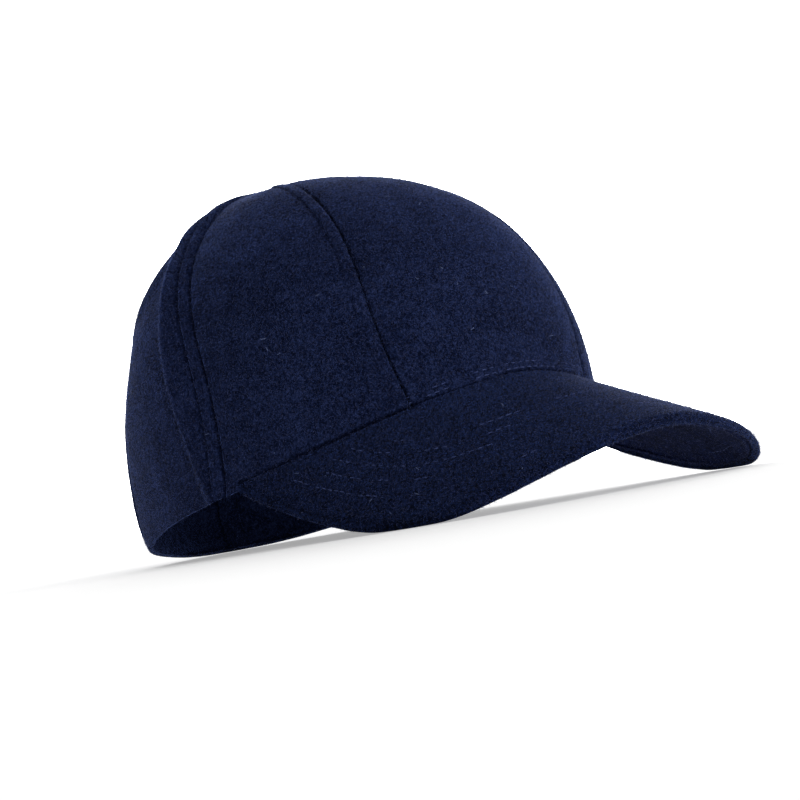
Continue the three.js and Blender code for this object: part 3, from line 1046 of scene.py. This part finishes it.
# The peak's shades are darker than the crown's, for the same cloth: painted shade.
PEAK_SHADES_PAINTED_DARKER = ("#020513", "#040a1e", "#0a132f", "#1e2a50")
UNDER_SHADES = ("#04081c", "#0a102b", "#121b3c", "#26315e")
crown_wool = milled_wool("navy milled wool", CROWN_SHADES, 1.7, 1.5, "#7b97f0")
peak_wool = milled_wool("navy milled wool of the peak", PEAK_SHADES_PAINTED_DARKER, 3.1, 0.9, "#6c8dec")
under_wool = milled_wool("navy milled wool of the underside", UNDER_SHADES, 1.3, 0.3, "#7b97f0")
fibre_wool = wool_thread("loose navy wool fibre", ("#202b5e", "#35427c"), clear=0.7)
lint = wool_thread("pale lint", ("#56648f", "#8290b8"))
thread = wool_thread("navy sewing thread", ("#2f3a66", "#4f5d90"))
for piece in crown + allowances:
    piece.data.materials.append(crown_wool)
peak_top.data.materials.append(peak_wool)
peak_under.data.materials.append(under_wool)
for piece in (root_stitches, top_stitches, under_stitches):
    piece.data.materials.append(thread)
print("materials:", [material.name for material in bpy.data.materials])

# %% Fibres on every panel and on the peak
NAP_PER_MM2 = 1.5
UNDER_NAP_PER_MM2 = 0.7
NAP_SCALE = (0.5, 1.5)
LINT_PER_MM2 = 0.0016
LINT_SCALE = (1.2, 2.2)

outer_cloths = [(piece, "crown_wool") for piece in crown] + [(peak_top, "peak_wool")]
nap_seeds = [10 * index + 1 for index in range(len(crown))] + [91]
for (piece, slot), seed in zip(outer_cloths, nap_seeds):
    name = piece.name.replace("_cloth", "_nap")
    make_nap(piece, name, NAP_PER_MM2, seed, fibre_wool, NAP_SCALE)
make_nap(peak_under, "peak_underside_nap", UNDER_NAP_PER_MM2, 101, fibre_wool,
         NAP_SCALE)
for index, (piece, slot) in enumerate(outer_cloths):
    name = piece.name.replace("_cloth", "_lint")
    make_nap(piece, name, LINT_PER_MM2, 201 + 10 * index, lint, LINT_SCALE)

# %% [markdown]
# ## Floor, light and camera
#
# The cap stands on a pale seamless floor in a dark studio with white reflectors. Each is
# a soft spot painted on the surround, with the direction that it lies in, its strength,
# and a power that says how small it is. A wall on the right and a card above the camera
# light the front. A bright backdrop and a strip light make the nap bloom along the
# outline. The floor glows faintly, so that it stays white under light this soft.

# %% Floor
FLOOR_HALF = 6.0
FLOOR_GLOW = 0.36


def make_floor():
    floor = bmesh.new()
    bmesh.ops.create_grid(floor, x_segments=1, y_segments=1, size=FLOOR_HALF)
    piece = link_mesh("floor", floor, smooth=False)
    material = bpy.data.materials.new("pale matt floor")
    material.use_nodes = True
    shader = material.node_tree.nodes["Principled BSDF"]
    shader.inputs["Base Color"].default_value = linear("#f0f0f0")
    shader.inputs["Roughness"].default_value = 0.9
    shader.inputs["Emission Color"].default_value = (1, 1, 1, 1)
    shader.inputs["Emission Strength"].default_value = FLOOR_GLOW
    piece.data.materials.append(material)
    print("floor:", piece.name, "half width", FLOOR_HALF)


make_floor()

# %% Lights
SOFT_LIGHTS = [
    {"name": "white wall on the camera's right",
     "towards": (0.78, -0.62, 0.12), "strength": 1.5, "power": 4},
    {"name": "soft box above the peak",
     "towards": (0.35, -0.5, 0.78), "strength": 0.65, "power": 5},
    {"name": "white card above the camera",
     "towards": (-0.38, -0.84, 0.38), "strength": 1.9, "power": 7},
    {"name": "bright backdrop",
     "towards": (0.62, 0.78, 0.14), "strength": 8.0, "power": 14},
    {"name": "strip light behind on the left",
     "towards": (0.36, 0.9, 0.24), "strength": 1.8, "power": 24},
]


def studio_world(soft_lights):
    """A dark surround with soft lights painted on it; a higher power makes a smaller light."""
    world = bpy.data.worlds.new("studio")
    bpy.context.scene.world = world
    world.use_nodes = True
    tree = world.node_tree
    tree.nodes.clear()
    direction = add(tree, "ShaderNodeTexCoord").outputs["Generated"]
    strength = 0.0
    for soft in soft_lights:
        towards = Vector(soft["towards"]).normalized()
        near = add(tree, "ShaderNodeVectorMath", {
            0: direction, 1: towards}, operation="DOT_PRODUCT")
        facing = add(tree, "ShaderNodeMath", {
            0: near.outputs["Value"], 1: 0.0}, operation="MAXIMUM")
        spot = add(tree, "ShaderNodeMath", {
            0: facing.outputs[0], 1: soft["power"]}, operation="POWER")
        sum_so_far = add(tree, "ShaderNodeMath", {
            0: spot.outputs[0], 1: soft["strength"], 2: strength}, operation="MULTIPLY_ADD")
        strength = sum_so_far.outputs[0]
    light = add(tree, "ShaderNodeBackground", {"Color": (1, 1, 1, 1), "Strength": strength})
    add(tree, "ShaderNodeOutputWorld", {"Surface": light.outputs["Background"]})


studio_world(SOFT_LIGHTS)
bpy.context.scene.view_settings.view_transform = "Standard"
print("soft lights:", [soft["name"] for soft in SOFT_LIGHTS])

# %% Camera
CAMERA_AZIMUTH = math.radians(-38.31)
CAMERA_ELEVATION = math.radians(-1.62)
CAMERA_ROLL = math.radians(-9.96)
CAMERA_DISTANCE = 1.111
CAMERA_AIM = Vector((-0.00608, -0.00019, 0.0464))
SENSOR = 36
# The picture is 800 pixels wide, and shows a millimetre at the aim 2.67 pixels long.
PIXELS_PER_MM = 2.6705
IMAGE_SIZE = 800


def make_camera():
    data = bpy.data.cameras.new("camera")
    data.sensor_width = SENSOR
    data.lens = PIXELS_PER_MM * CAMERA_DISTANCE / MM / IMAGE_SIZE * SENSOR
    data.clip_start = 0.05
    data.clip_end = 50
    camera = bpy.data.objects.new("camera", data)
    back = Vector((
        math.sin(CAMERA_AZIMUTH) * math.cos(CAMERA_ELEVATION),
        -math.cos(CAMERA_AZIMUTH) * math.cos(CAMERA_ELEVATION),
        math.sin(CAMERA_ELEVATION),
    ))
    level = (-back).to_track_quat("-Z", "Y").to_matrix().to_4x4()
    place = Matrix.Translation(CAMERA_AIM + back * CAMERA_DISTANCE)
    camera.matrix_world = place @ level @ Matrix.Rotation(CAMERA_ROLL, 4, "Z")
    bpy.context.scene.collection.objects.link(camera)
    bpy.context.scene.camera = camera
    return camera


camera = make_camera()
height = round(camera.matrix_world.translation.z, 4)
print("camera height:", height, "lens:", round(camera.data.lens, 1))

# %% The end
bpy.context.view_layer.update()
